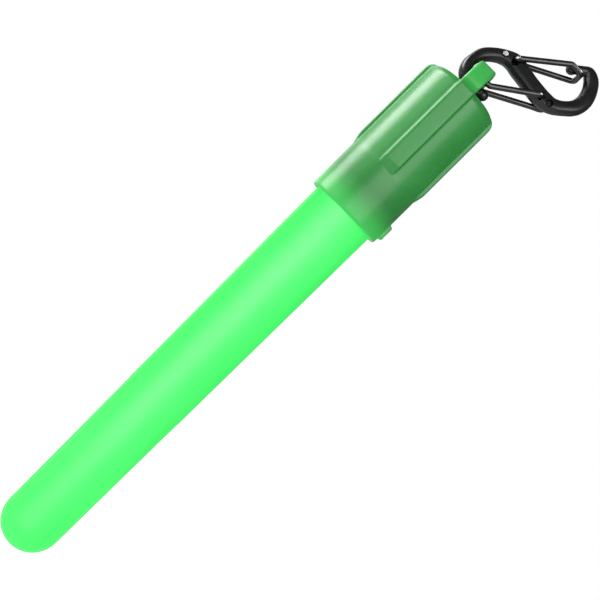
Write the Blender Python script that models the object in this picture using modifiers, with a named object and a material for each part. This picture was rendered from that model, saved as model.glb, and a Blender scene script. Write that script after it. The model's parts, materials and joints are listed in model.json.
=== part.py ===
"""LED light stick with a twist cap and a two-eyed wire-gate clip.

The stick hangs straight down from the hook eye of the clip.  The clip's other
eye is what holds the whole thing up, and its centre is the origin.  Lengths are
in metres and +Z is up.  Heights inside the stick are counted from the tip of
its domed end, along its axis, before the whole stick is moved under the clip.
"""

import math

import bmesh
import bpy
from mathutils import Matrix, Quaternion, Vector

MM = 0.001
GAP = 0.3 * MM            # play between a piece and the one it rests on

# Diffuser tube: a thin-walled test-tube shape with a threaded neck.
TUBE_TIP_RADIUS = 6.5 * MM
TUBE_RIM_RADIUS = 7.25 * MM
TUBE_WALL = 1.1 * MM
RIM_HEIGHT = 93.75 * MM   # where the cap's rim meets the tube
NECK_TOP = 100.0 * MM
NECK_RADIUS = 6.65 * MM
NECK_BORE = 5.5 * MM
GROOVE_RADIUS = 6.2 * MM
SEAL_RADIUS = 6.85 * MM
SEAL_THICKNESS = 0.8 * MM
SEAL_HEIGHT = 95.4 * MM

# Screw thread that both holds the tube and works as the switch.
THREAD_PITCH = 2.0 * MM
THREAD_ROUND = 0.5 * MM
THREAD_START = 97.0 * MM
THREAD_TURNS = 1.25
THREAD_STEPS = 24

# Cap.
COLLAR_RADIUS = 8.5 * MM
COLLAR_TOP = 105.0 * MM
CAP_RADIUS = 8.4 * MM
CAP_TOP = 128.1 * MM
SHOULDER_RADIUS = 1.9 * MM
CAP_MOUTH = 7.45 * MM
CAVITY_RADIUS = 7.2 * MM
CAVITY_FLOOR = 100.7 * MM
CAVITY_CEILING = 126.0 * MM
RIDGE_REACH = 9.0 * MM
RIDGE_HALF_WIDTH = 2.1 * MM
STRAP_REACH = 9.05 * MM
STRAP_HALF_WIDTH = 2.0 * MM
LOOP_TOP = 135.05 * MM
LOOP_THICKNESS = 1.4 * MM
LOOP_HALF_SPAN = 8.2 * MM
LOOP_SPRING = 127.9 * MM  # height at which the loop's arch starts
LOOP_LEG_TOP = 127.4 * MM
LOOP_LEG_FOOT = 126.6 * MM
LOOP_FULLNESS = 0.3 * MM  # how far the arch's sides stand out from an ellipse
STRAP_ROOT = 7.8 * MM     # how deep the strap goes into the cap's wall
STRAP_FOOT_RISE = 2.0 * MM
TAB_SIZE = (1.4 * MM, 3.0 * MM, 3.4 * MM)
TAB_CENTRE = (8.55 * MM, 0.0, 96.9 * MM)

# Three button cells, 11.6 mm across and 5.4 mm high.
CELL_RADIUS = 5.8 * MM
CELL_HEIGHT = 5.4 * MM
CELL_GAP = 0.25 * MM
CELL_BOTTOM = 103.4 * MM
CELL_COUNT = 3
CARRIER_BORE = 6.0 * MM
CARRIER_RADIUS = 6.9 * MM
CARRIER_LIP_BORE = 4.9 * MM
CARRIER_TOP = 125.0 * MM
CARRIER_SLOT = (4.0 * MM, 2.8 * MM, 30.0 * MM)
CARRIER_SLOT_CENTRE = (-7.2 * MM, 0.0, 114.0 * MM)
END_PLATE = 125.3 * MM    # underside of the plate above the spring
END_PLATE_RADIUS = 6.3 * MM
PLATE_THICKNESS = 0.3 * MM
SPRING_RADIUS = 3.4 * MM
SPRING_WIRE = 0.3 * MM
SPRING_TURNS = 3
STRIP_REACH = 6.75 * MM
STRIP_THICKNESS = 0.35 * MM

# Lamp module that rides on the tube's neck.
BOARD_RADIUS = 6.7 * MM
BOARD_THICKNESS = 1.0 * MM
BOARD_BOTTOM = NECK_TOP + GAP
BOARD_TOP = BOARD_BOTTOM + BOARD_THICKNESS
LAMP_RADIUS = 2.5 * MM
LAMP_BASE = 98.9 * MM
LAMP_TIP = 90.2 * MM
LEAD_SPACING = 2.54 * MM
LEAD_WIDTH = 0.5 * MM
LEAD_HOLE_RADIUS = 0.5 * MM
PART_LIFT = 0.15 * MM     # solder under the parts on the board
CHIP_SIZE = (1.6 * MM, 2.9 * MM, 1.0 * MM)
RESISTOR_SIZE = (1.2 * MM, 2.0 * MM, 0.5 * MM)
PART_OFFSET = 3.6 * MM    # from the board's centre to the chip and to the resistor
MIDDLE_COIL_RADIUS = 1.0 * MM
MIDDLE_COIL_WIRE = 0.2 * MM

# Clip: an S in its own plane, with a to the right, b up the plane and w towards
# the front.  The plane leans back by CLIP_LEAN.
CLIP_LEAN = math.radians(23)
HOOK_LOW = 10.3 * MM      # how far the hook's arm lies below the clip's centre
HOOK_HEIGHT = 129.72 * MM
CLIP_RIGHT = 7.4 * MM     # the clip's centre, to the right of the stick's axis
EYE_CENTRE = (7.0 * MM, 5.6 * MM)
BALL_RADIUS = 1.25 * MM
WIRE_RADIUS = 0.5 * MM
WIRE_OFFSET = 2.25 * MM   # from the clip's mid-plane to each leg of a gate
WIRE_BEND = 0.8 * MM
SECOND_END = -1.2         # in mm: how deep the short end of a gate reaches
PIVOT_PLAY = 0.2 * MM
GATE_SWING = math.radians(15)

# Each gate as (a, b) in the clip's plane, in mm: the end it turns on, its other
# end, the front leg's bend, the two corners of its cross wire and the rear leg's
# bend.  The end it turns on comes from the back and reaches to pivot_end.
EYE_GATE = {
    "pivot_end": 1.75,
    "pivot": (-7.2, 0.1), "second": (-4.9, 1.0), "bend": (3.6, 9.4),
    "front_corner": (6.3, 9.35), "rear_corner": (6.4, 9.7), "rear_bend": (-4.6, 2.5),
}
HOOK_GATE = {
    "pivot_end": 1.2,
    "pivot": (6.1, -0.8), "second": (3.9, -1.05), "bend": (-4.8, -8.3),
    "front_corner": (-6.4, -8.75), "rear_corner": (-6.4, -8.75), "rear_bend": (3.8, -2.15),
}

# Centre line of the S from the hook's ball to the eye's ball, in mm:
# a, b, half width in the plane, half depth, squareness of the section.
CLIP_STATIONS = [
    (-4.45, -9.8, 0.9, 0.9, 2.0),
    (-5.9, -10.2, 0.85, 0.85, 2.0),
    (-7.2, -10.35, 1.0, 1.1, 2.0),
    (-8.8, -10.05, 1.2, 1.3, 2.4),
    (-10.3, -8.9, 1.25, 1.45, 2.8),
    (-11.05, -7.0, 1.25, 1.55, 3.2),
    (-11.0, -5.0, 1.2, 1.55, 3.2),
    (-10.35, -3.0, 1.4, 1.55, 3.4),
    (-8.8, -1.1, 1.4, 1.55, 3.6),
    (-6.9, 0.3, 1.5, 1.55, 3.8),
    (-4.8, 0.85, 1.85, 1.55, 3.8),
    (-2.8, 0.5, 1.9, 1.55, 3.8),
    (0.0, 0.05, 1.85, 1.55, 3.8),
    (3.0, -0.4, 1.9, 1.55, 3.8),
    (5.0, -0.45, 1.85, 1.55, 3.8),
    (6.9, 0.05, 1.65, 1.55, 3.8),
    (8.85, 1.35, 1.6, 1.55, 3.6),
    (10.3, 3.6, 1.6, 1.55, 3.4),
    (10.75, 6.3, 1.6, 1.55, 3.2),
    (10.3, 9.0, 1.7, 1.5, 2.8),
    (9.15, 11.25, 1.65, 1.45, 2.4),
    (7.6, 12.25, 1.45, 1.3, 2.0),
    (6.2, 11.5, 1.05, 1.05, 2.0),
    (4.35, 9.85, 0.95, 0.95, 2.0),
]

ROUND_STEPS = 36


# ---------------------------------------------------------------- the scene

def clear_scene():
    for obj in list(bpy.data.objects):
        bpy.data.objects.remove(obj, do_unlink=True)


def new_collection(name):
    collection = bpy.data.collections.new(name)
    bpy.context.scene.collection.children.link(collection)
    return collection


def principled(name, colour, roughness, metallic=0.0, transmission=0.0, glow=0.0):
    material = bpy.data.materials.new(name)
    material.use_nodes = True
    shader = material.node_tree.nodes["Principled BSDF"]
    shader.inputs["Base Color"].default_value = (*colour, 1.0)
    shader.inputs["Roughness"].default_value = roughness
    shader.inputs["Metallic"].default_value = metallic
    shader.inputs["Transmission Weight"].default_value = transmission
    shader.inputs["Emission Color"].default_value = (*colour, 1.0)
    shader.inputs["Emission Strength"].default_value = glow
    return material


clear_scene()
PARTS = new_collection("led_light_stick")
CUTTERS = new_collection("cutters")


def place(name, data, material, parent=None, location=(0, 0, 0)):
    """Make an object of a mesh or a curve, and put it among the parts."""
    obj = bpy.data.objects.new(name, data)
    PARTS.objects.link(obj)
    obj.location = location
    obj.parent = parent
    if material:
        data.materials.append(material)
    return obj


def empty(name, location, parent=None):
    marker = bpy.data.objects.new(name, None)
    PARTS.objects.link(marker)
    marker.location = location
    marker.parent = parent
    return marker


def as_cutter(obj):
    """Turn an object into a tool: out of the build, drawn as wire."""
    PARTS.objects.unlink(obj)
    CUTTERS.objects.link(obj)
    obj.hide_render = True
    obj.display_type = "WIRE"
    return obj


def combine(obj, other, operation):
    modifier = obj.modifiers.new(operation.lower(), "BOOLEAN")
    modifier.operation = operation
    modifier.solver = "EXACT"
    modifier.object = as_cutter(other)


# ------------------------------------------------------------------- shapes

def arc(centre, radius, start, end, steps):
    """Points on an arc, with the angles in degrees and both ends included."""
    points = []
    for step in range(steps + 1):
        angle = math.radians(start + (end - start) * step / steps)
        points.append((centre[0] + radius * math.cos(angle), centre[1] + radius * math.sin(angle)))
    return points


def turned(name, profile, material, parent=None, location=(0, 0, 0), steps=ROUND_STEPS, closed=False):
    """Screw a profile of (radius, height) pairs, top to bottom on its outer side."""
    mesh = bpy.data.meshes.new(name)
    verts = [(radius, 0.0, height) for radius, height in profile]
    edges = [(i, i + 1) for i in range(len(verts) - 1)]
    if closed:
        edges.append((len(verts) - 1, 0))
    mesh.from_pydata(verts, edges, [])
    obj = place(name, mesh, material, parent, location)
    screw = obj.modifiers.new("turn", "SCREW")
    screw.axis = "Z"
    screw.angle = math.tau
    screw.steps = steps
    screw.render_steps = steps
    screw.use_merge_vertices = True
    screw.merge_threshold = 0.00001
    screw.use_smooth_shade = True
    return obj


def wire(name, points, radius, material, parent=None, location=(0, 0, 0)):
    """A round wire along a poly-line, with closed ends."""
    curve = bpy.data.curves.new(name, "CURVE")
    curve.dimensions = "3D"
    curve.bevel_depth = radius
    curve.bevel_resolution = 2
    curve.use_fill_caps = True
    spline = curve.splines.new("POLY")
    spline.points.add(len(points) - 1)
    for target, point in zip(spline.points, points):
        target.co = (*point, 1.0)
    return place(name, curve, material, parent, location)


def slab(name, outline, half_thickness, material, parent=None, location=(0, 0, 0)):
    """A flat outline in the XY plane, extruded both ways along Z."""
    curve = bpy.data.curves.new(name, "CURVE")
    curve.dimensions = "2D"
    curve.fill_mode = "BOTH"
    curve.extrude = half_thickness
    spline = curve.splines.new("POLY")
    spline.points.add(len(outline) - 1)
    for target, point in zip(spline.points, outline):
        target.co = (*point, 0.0, 1.0)
    spline.use_cyclic_u = True
    return place(name, curve, material, parent, location)


def block(name, size, material, parent=None, location=(0, 0, 0), edge=0.0):
    mesh = bpy.data.meshes.new(name)
    shape = bmesh.new()
    bmesh.ops.create_cube(shape, size=1.0, matrix=Matrix.Diagonal((*size, 1.0)))
    shape.to_mesh(mesh)
    shape.free()
    obj = place(name, mesh, material, parent, location)
    if edge:
        ease(obj, edge)
    return obj


def ease(obj, width):
    """Round the sharp edges of a mesh."""
    bevel = obj.modifiers.new("edges", "BEVEL")
    bevel.width = width
    bevel.segments = 2
    bevel.limit_method = "ANGLE"
    bevel.angle_limit = math.radians(50)


def welded(curve_object, edge=0.0):
    """Replace a curve by the closed mesh that it draws, in the same place."""
    bpy.context.view_layer.update()
    graph = bpy.context.evaluated_depsgraph_get()
    mesh = bpy.data.meshes.new_from_object(curve_object.evaluated_get(graph))
    shape = bmesh.new()
    shape.from_mesh(mesh)
    bmesh.ops.remove_doubles(shape, verts=shape.verts, dist=0.000001)
    bmesh.ops.recalc_face_normals(shape, faces=shape.faces)
    shape.to_mesh(mesh)
    shape.free()
    name = curve_object.name
    matrix = curve_object.matrix_world.copy()
    bpy.data.objects.remove(curve_object, do_unlink=True)
    obj = bpy.data.objects.new(name, mesh)
    PARTS.objects.link(obj)
    obj.matrix_world = matrix
    if edge:
        ease(obj, edge)
    return obj


def helix(radius, start, turns, steps_per_turn, phase=0.0, pitch=THREAD_PITCH):
    points = []
    for step in range(int(turns * steps_per_turn) + 1):
        angle = math.tau * step / steps_per_turn
        height = start + pitch * angle / math.tau
        points.append((radius * math.cos(angle + phase), radius * math.sin(angle + phase), height))
    return points


def rounded_path(corners, radius, steps=4):
    """A poly-line through the corners, with each inner corner turned on an arc."""
    points = [Vector(corners[0])]
    for before, corner, after in zip(corners, corners[1:], corners[2:]):
        corner = Vector(corner)
        back = (Vector(before) - corner).normalized()
        ahead = (Vector(after) - corner).normalized()
        half = back.angle(ahead) / 2
        reach = radius / math.tan(half)
        middle = corner + (back + ahead).normalized() * radius / math.sin(half)
        first = corner + back * reach - middle
        last = corner + ahead * reach - middle
        turn = first.angle(last)
        for step in range(steps + 1):
            spin = Quaternion(first.cross(last), turn * step / steps)
            points.append(middle + spin @ first)
    points.append(Vector(corners[-1]))
    return points


# ---------------------------------------------------------------- materials

GLOW_GREEN = principled("glow_green_plastic", (0.10, 0.90, 0.18), 0.45, transmission=0.3, glow=1.0)
CAP_GREEN = principled("cap_green_plastic", (0.09, 0.40, 0.11), 0.45, transmission=0.2)
CLIP_BLACK = principled("clip_black_plastic", (0.012, 0.012, 0.013), 0.4)
WIRE_STEEL = principled("dark_spring_wire", (0.10, 0.10, 0.11), 0.3, metallic=1.0)
CELL_STEEL = principled("cell_steel", (0.72, 0.72, 0.70), 0.25, metallic=1.0)
CONTACT_METAL = principled("contact_metal", (0.75, 0.66, 0.42), 0.3, metallic=1.0)
CARRIER_WHITE = principled("carrier_plastic", (0.55, 0.56, 0.55), 0.5)
BOARD_GREEN = principled("board_laminate", (0.02, 0.14, 0.06), 0.45)
CHIP_BLACK = principled("chip_black", (0.02, 0.02, 0.02), 0.5)
LAMP_CLEAR = principled("lamp_epoxy", (0.35, 0.95, 0.45), 0.1, transmission=0.6, glow=2.0)
SEAL_RUBBER = principled("seal_rubber", (0.02, 0.02, 0.02), 0.7)


# ------------------------------------------------------------ frames to use

CLIP_CENTRE = Vector((
    CLIP_RIGHT,
    HOOK_LOW * math.sin(CLIP_LEAN),
    HOOK_HEIGHT + HOOK_LOW * math.cos(CLIP_LEAN),
))
# Columns: the clip's a, b and w directions.
CLIP_TURN = Matrix((
    (1.0, 0.0, 0.0),
    (0.0, math.sin(CLIP_LEAN), -math.cos(CLIP_LEAN)),
    (0.0, math.cos(CLIP_LEAN), math.sin(CLIP_LEAN)),
))
ORIGIN = CLIP_CENTRE + CLIP_TURN @ Vector((*EYE_CENTRE, 0.0))

# The stick turns about the hook's arm, and everything on it hangs from there.
stick = empty("stick_swing", Vector((0.0, 0.0, HOOK_HEIGHT)) - ORIGIN)
axis_foot = empty("stick_axis", (0.0, 0.0, -HOOK_HEIGHT), stick)
lamp_module = empty("module_slide", (0.0, 0.0, BOARD_BOTTOM), axis_foot)
module_foot = empty("module_foot", (0.0, 0.0, -BOARD_BOTTOM), lamp_module)
tube_turn = empty("tube_twist", (0.0, 0.0, NECK_TOP), module_foot)
tube_foot = empty("tube_foot", (0.0, 0.0, -NECK_TOP), tube_turn)

clip_frame = empty("clip_frame", CLIP_CENTRE - ORIGIN)
clip_frame.rotation_euler = CLIP_TURN.to_euler()


# -------------------------------------------------------------------- clip

def smooth_stations(stations, steps):
    """Catmull-Rom through the stations, so the S has no corners."""
    rows = [Vector(row) for row in stations]
    rows = [2 * rows[0] - rows[1]] + rows + [2 * rows[-1] - rows[-2]]
    result = []
    for p0, p1, p2, p3 in zip(rows, rows[1:], rows[2:], rows[3:]):
        for step in range(steps):
            t = step / steps
            result.append(0.5 * (2 * p1 + (p2 - p0) * t + (2 * p0 - 5 * p1 + 4 * p2 - p3) * t * t
                                 + (3 * p1 - p0 - 3 * p2 + p3) * t ** 3))
    result.append(rows[-2])
    return result


def section(centre, tangent, half_width, half_depth, squareness, count=12):
    """One rounded cross-section of the clip, square to its centre line."""
    across = Vector((-tangent[1], tangent[0]))
    ring = []
    for step in range(count):
        angle = math.tau * (step + 0.5) / count
        cos, sin = math.cos(angle), math.sin(angle)
        side = math.copysign(abs(cos) ** (2 / squareness), cos) * half_width
        depth = math.copysign(abs(sin) ** (2 / squareness), sin) * half_depth
        ring.append((centre[0] + across[0] * side, centre[1] + across[1] * side, depth))
    return ring


def ball_rings(neck, outward, facing, radius):
    """Sections of the ball at a free end, from its neck out to its tip."""
    start = math.asin(radius / BALL_RADIUS)
    rings = []
    for step in range(1, 8):
        angle = start + (math.pi - start - 0.2) * step / 7
        reach = BALL_RADIUS * (math.cos(start) - math.cos(angle))
        size = BALL_RADIUS * math.sin(angle)
        rings.append(section(neck + outward * reach, facing, size, size, 2.0))
    return rings


def with_necks(stations):
    """Pull both ends back from the balls' centres to where the balls start."""
    rows = [Vector(row) for row in stations]
    for end, inner in ((0, 1), (-1, -2)):
        outward = Vector((rows[end] - rows[inner])[:2]).normalized()
        back = math.sqrt((BALL_RADIUS / MM) ** 2 - rows[end][2] ** 2)
        rows[end][0] -= outward[0] * back
        rows[end][1] -= outward[1] * back
    return rows


def clip_rings():
    """Every section of the clip, in order from one ball's tip to the other's."""
    rows = smooth_stations(with_necks(CLIP_STATIONS), 3)
    rings = []
    for i, row in enumerate(rows):
        before = rows[max(i - 1, 0)]
        after = rows[min(i + 1, len(rows) - 1)]
        facing = Vector((after[0] - before[0], after[1] - before[1])).normalized()
        centre = Vector((row[0], row[1])) * MM
        rings.append(section(centre, facing, row[2] * MM, row[3] * MM, row[4]))
        if i == 0:
            first = ball_rings(centre, -facing, facing, row[2] * MM)
        if i == len(rows) - 1:
            last = ball_rings(centre, facing, facing, row[2] * MM)
    return first[::-1] + rings + last


def clip_body():
    shape = bmesh.new()
    levels = [[shape.verts.new(point) for point in ring] for ring in clip_rings()]
    for lower, upper in zip(levels, levels[1:]):
        for k in range(len(lower)):
            ahead = (k + 1) % len(lower)
            shape.faces.new((lower[k], lower[ahead], upper[ahead], upper[k]))
    shape.faces.new(levels[0])
    shape.faces.new(levels[-1])
    bmesh.ops.recalc_face_normals(shape, faces=shape.faces)
    mesh = bpy.data.meshes.new("clip_body")
    shape.to_mesh(mesh)
    shape.free()
    mesh.shade_smooth()
    body = place("clip_body", mesh, CLIP_BLACK, clip_frame)
    for gate in (EYE_GATE, HOOK_GATE):
        pivot = Vector(gate["pivot"]) * MM
        second = Vector(gate["second"]) * MM
        swung = Matrix.Rotation(-GATE_SWING, 2) @ (second - pivot)
        combine(body, slot_tool(pivot, pivot), "DIFFERENCE")
        combine(body, slot_tool(second, pivot + swung), "DIFFERENCE")
    return body


def slot_tool(start, end):
    """A through slot with round ends, for a wire end that moves from start to end."""
    along = end - start
    heading = math.degrees(math.atan2(along.y, along.x)) if along.length else 0.0
    radius = WIRE_RADIUS + PIVOT_PLAY
    outline = arc(end, radius, heading - 90, heading + 90, 8)
    outline += arc(start, radius, heading + 90, heading + 270, 8)
    if not along.length:
        outline = arc(start, radius, 0, 360, 16)[:-1]
    tool = slab("slot_tool", outline, 3 * MM, None)
    tool.matrix_world = Matrix.Translation(CLIP_CENTRE - ORIGIN) @ CLIP_TURN.to_4x4()
    return welded(tool)


def gate_wire(name, gate):
    """A hairpin of spring wire: two ends in the body, two legs, one cross wire."""
    pivot = Vector(gate["pivot"])
    front = WIRE_OFFSET / MM
    corners = [
        (*gate["second"], SECOND_END),
        (*gate["second"], front),
        (*gate["bend"], front),
        (*gate["front_corner"], front),
        (*gate["rear_corner"], -front),
        (*gate["rear_bend"], -front),
        (*gate["pivot"], -front),
        (*gate["pivot"], gate["pivot_end"]),
    ]
    corners = [(Vector(point) - Vector((*pivot, 0.0))) * MM for point in corners]
    path = rounded_path(corners, WIRE_BEND)
    return wire(name, path, WIRE_RADIUS, WIRE_STEEL, clip_frame, (*(pivot * MM), 0.0))


# --------------------------------------------------------------------- cap

def cap_outline():
    """The cap's own section: outer side down, rim, then up the bore."""
    shoulder = arc((CAP_RADIUS - SHOULDER_RADIUS, CAP_TOP - SHOULDER_RADIUS), SHOULDER_RADIUS, 90, 0, 6)
    outer = [(0.0, CAP_TOP + 0.1 * MM)] + shoulder
    outer += [(CAP_RADIUS, COLLAR_TOP + 1.2 * MM), (COLLAR_RADIUS, COLLAR_TOP)]
    edge = 0.4 * MM
    rim = arc((COLLAR_RADIUS - edge, RIM_HEIGHT + edge), edge, 0, -90, 3)
    bore_step = 96.2 * MM
    inner = [
        (CAP_MOUTH + 0.2 * MM, RIM_HEIGHT),
        (CAP_MOUTH, RIM_HEIGHT + 0.3 * MM),
        (CAP_MOUTH, CAVITY_FLOOR - 0.2 * MM),
        (CAVITY_RADIUS, CAVITY_FLOOR),
        (CAVITY_RADIUS, CAVITY_CEILING - 0.6 * MM),
        (CAVITY_RADIUS - 0.6 * MM, CAVITY_CEILING),
        (0.0, CAVITY_CEILING),
    ]
    return outer + rim + inner


def side_ridge(direction):
    """A grip ridge on the left or right, with a swept foot and a rounded head."""
    inside = CAVITY_RADIUS + 0.5 * MM
    foot = COLLAR_TOP - 0.1 * MM
    outline = [
        (inside, foot),
        (COLLAR_RADIUS - 0.1 * MM, foot),
        (COLLAR_RADIUS + 0.12 * MM, foot + 0.9 * MM),
        (RIDGE_REACH - 0.08 * MM, foot + 2.2 * MM),
        (RIDGE_REACH, foot + 3.0 * MM),
    ]
    outline += arc((RIDGE_REACH - 2.2 * MM, CAP_TOP - 2.45 * MM), 2.2 * MM, 0, 80, 6)
    outline += [(inside - 0.9 * MM, CAP_TOP - 1.2 * MM), (inside, CAVITY_CEILING - 0.6 * MM)]
    name = "ridge_tool_right" if direction > 0 else "ridge_tool_left"
    ridge = slab(name, outline, RIDGE_HALF_WIDTH, None)
    upright = Matrix.Rotation(math.pi / 2, 4, "X")
    flip = Matrix.Rotation(0.0 if direction > 0 else math.pi, 4, "Z")
    ridge.matrix_world = Matrix.Translation(-ORIGIN) @ flip @ upright
    return welded(ridge, 0.3 * MM)


def ellipse(half_width, height, base, start, end, steps):
    points = []
    for step in range(steps + 1):
        angle = math.radians(start + (end - start) * step / steps)
        points.append((half_width * math.cos(angle), base + height * math.sin(angle)))
    return points


def strap():
    """Front and back ridges in one with the carry loop that joins them over the top."""
    side = [
        (STRAP_ROOT, COLLAR_TOP),
        (COLLAR_RADIUS - 0.15 * MM, COLLAR_TOP),
        (STRAP_REACH, COLLAR_TOP + STRAP_FOOT_RISE),
        (STRAP_REACH, LOOP_LEG_TOP),
    ]
    rise = LOOP_TOP - LOOP_SPRING
    over = []
    for across, height in ellipse(LOOP_HALF_SPAN, rise, LOOP_SPRING + LOOP_FULLNESS, 8, 172, 18):
        over.append((across, height - LOOP_FULLNESS * (height - LOOP_SPRING) / rise))
    under = ellipse(LOOP_HALF_SPAN - LOOP_THICKNESS, rise - LOOP_THICKNESS, LOOP_SPRING, 180, 0, 16)
    mirrored = [(-across, height) for across, height in reversed(side)]
    closing = [(-STRAP_ROOT, LOOP_LEG_FOOT)] + under + [(STRAP_ROOT, LOOP_LEG_FOOT)]
    outline = side + over + mirrored + closing
    loop = slab("strap_tool", outline, STRAP_HALF_WIDTH, None)
    upright = Matrix.Rotation(math.pi / 2, 4, "Z") @ Matrix.Rotation(math.pi / 2, 4, "X")
    loop.matrix_world = Matrix.Translation(-ORIGIN) @ upright
    return welded(loop, 0.3 * MM)


def cap_shell():
    cap = turned("cap_shell", cap_outline(), CAP_GREEN, axis_foot)
    combine(cap, side_ridge(1), "UNION")
    combine(cap, side_ridge(-1), "UNION")
    combine(cap, strap(), "UNION")
    tab = block("tab_tool", TAB_SIZE, None, edge=0.3 * MM, location=Vector(TAB_CENTRE) - ORIGIN)
    combine(cap, tab, "UNION")
    thread = helix(CAP_MOUTH + 0.02 * MM, THREAD_START, THREAD_TURNS, THREAD_STEPS, phase=math.pi)
    female = wire("female_thread_tool", thread, THREAD_ROUND, None, location=-ORIGIN)
    combine(cap, welded(female), "UNION")
    return cap


# -------------------------------------------------------------------- tube

def tube_outline():
    """Up the bore from the dome's inside, over the neck, and down to the tip."""
    bore = TUBE_TIP_RADIUS - TUBE_WALL
    inside = [(0.0, TUBE_WALL)] + arc((0.0, TUBE_TIP_RADIUS), bore, -90, 0, 8)[1:]
    inside += [
        (TUBE_RIM_RADIUS - TUBE_WALL, RIM_HEIGHT - 2.0 * MM),
        (NECK_BORE, RIM_HEIGHT - 0.6 * MM),
        (NECK_BORE, NECK_TOP),
    ]
    outside = [
        (NECK_RADIUS - 0.2 * MM, NECK_TOP),
        (NECK_RADIUS, NECK_TOP - 0.2 * MM),
        (NECK_RADIUS, SEAL_HEIGHT + 0.7 * MM),
        (GROOVE_RADIUS, SEAL_HEIGHT + 0.7 * MM),
        (GROOVE_RADIUS, SEAL_HEIGHT - 0.7 * MM),
        (TUBE_RIM_RADIUS - 0.2 * MM, SEAL_HEIGHT - 0.7 * MM),
        (TUBE_RIM_RADIUS, SEAL_HEIGHT - 0.9 * MM),
        (TUBE_RIM_RADIUS, RIM_HEIGHT - 0.5 * MM),
        (TUBE_TIP_RADIUS, TUBE_TIP_RADIUS),
    ]
    dome = arc((0.0, TUBE_TIP_RADIUS), TUBE_TIP_RADIUS, 0, -90, 9)[1:-1] + [(0.0, 0.0)]
    return inside + outside + dome


def light_tube():
    tube = turned("light_tube", tube_outline(), GLOW_GREEN, tube_foot)
    path = helix(NECK_RADIUS + 0.05 * MM, THREAD_START, THREAD_TURNS, THREAD_STEPS)
    male = wire("male_thread_tool", path, THREAD_ROUND, None, location=-ORIGIN)
    combine(tube, welded(male), "UNION")
    return tube


def seal_ring():
    ring = arc((SEAL_RADIUS, SEAL_HEIGHT), SEAL_THICKNESS / 2, 90, -270, 8)[:-1]
    return turned("seal_ring", ring, SEAL_RUBBER, tube_foot, steps=32, closed=True)


# ------------------------------------------------- battery and its contacts

def battery_carrier():
    """An open-sided sleeve that keeps the three cells in line."""
    bottom = CELL_BOTTOM - 0.7 * MM
    profile = [
        (CARRIER_RADIUS, CARRIER_TOP),
        (CARRIER_RADIUS, bottom),
        (CARRIER_LIP_BORE, bottom),
        (CARRIER_LIP_BORE, bottom + 0.4 * MM),
        (CARRIER_BORE, bottom + 0.4 * MM),
        (CARRIER_BORE, CARRIER_TOP),
    ]
    carrier = turned("battery_carrier", profile, CARRIER_WHITE, axis_foot, closed=True)
    slot = block("carrier_slot", CARRIER_SLOT, None, location=Vector(CARRIER_SLOT_CENTRE) - ORIGIN)
    combine(carrier, slot, "DIFFERENCE")
    return carrier


def button_cell(number):
    """A steel can with a rounded top edge and a smaller lid at its lower end."""
    base = CELL_BOTTOM + (number - 1) * (CELL_HEIGHT + CELL_GAP)
    edge = 0.4 * MM
    lid = 0.35 * MM
    profile = [(0.0, CELL_HEIGHT)]
    profile += arc((CELL_RADIUS - edge, CELL_HEIGHT - edge), edge, 90, 0, 3)
    profile += [
        (CELL_RADIUS, lid + 0.3 * MM),
        (CELL_RADIUS - 0.3 * MM, lid),
        (CELL_RADIUS - 0.7 * MM, lid),
        (CELL_RADIUS - 0.9 * MM, 0.0),
        (0.0, 0.0),
    ]
    name = "button_cell_" + str(number)
    return turned(name, profile, CELL_STEEL, axis_foot, (0, 0, base), steps=24)


def contact_spring():
    """The coil that presses the cells down onto the board's middle contact."""
    start = CELL_BOTTOM + CELL_COUNT * (CELL_HEIGHT + CELL_GAP) + SPRING_WIRE
    end = END_PLATE - GAP - SPRING_WIRE
    coil = helix(SPRING_RADIUS, start, SPRING_TURNS, 14, pitch=(end - start) / SPRING_TURNS)
    return wire("contact_spring", coil, SPRING_WIRE, CONTACT_METAL, axis_foot)


def end_contact():
    """A round plate over the spring, with a strip down the carrier's open side."""
    top = END_PLATE + PLATE_THICKNESS
    return turned("end_contact", [
        (0.0, top), (END_PLATE_RADIUS, top), (END_PLATE_RADIUS, END_PLATE), (0.0, END_PLATE),
    ], CONTACT_METAL, axis_foot, steps=32)


def side_strip():
    """A bent strip that carries the current past the cells to the board's rim."""
    foot = BOARD_TOP + 0.75 * MM
    bend = 1.1 * MM
    outline = [
        (-STRIP_REACH, CARRIER_TOP),
        (-STRIP_REACH, foot),
        (-STRIP_REACH + bend, foot),
        (-STRIP_REACH + bend, foot + STRIP_THICKNESS),
        (-STRIP_REACH + STRIP_THICKNESS, foot + STRIP_THICKNESS),
        (-STRIP_REACH + STRIP_THICKNESS, CARRIER_TOP),
    ]
    strip = slab("side_strip", outline, 1.0 * MM, CONTACT_METAL, axis_foot)
    strip.rotation_euler = (math.pi / 2, 0.0, 0.0)
    return strip


# ------------------------------------------------------------- lamp module

def led_board():
    board = turned("led_board", [
        (0.0, BOARD_TOP), (BOARD_RADIUS, BOARD_TOP), (BOARD_RADIUS, BOARD_BOTTOM), (0.0, BOARD_BOTTOM),
    ], BOARD_GREEN, module_foot)
    for side in (-1, 1):
        hole = turned("lead_hole", [
            (0.0, BOARD_TOP + MM), (LEAD_HOLE_RADIUS, BOARD_TOP + MM),
            (LEAD_HOLE_RADIUS, BOARD_BOTTOM - MM), (0.0, BOARD_BOTTOM - MM),
        ], None, location=Vector((0.0, side * LEAD_SPACING / 2, 0.0)) - ORIGIN, steps=12)
        combine(board, hole, "DIFFERENCE")
    return board


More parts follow.
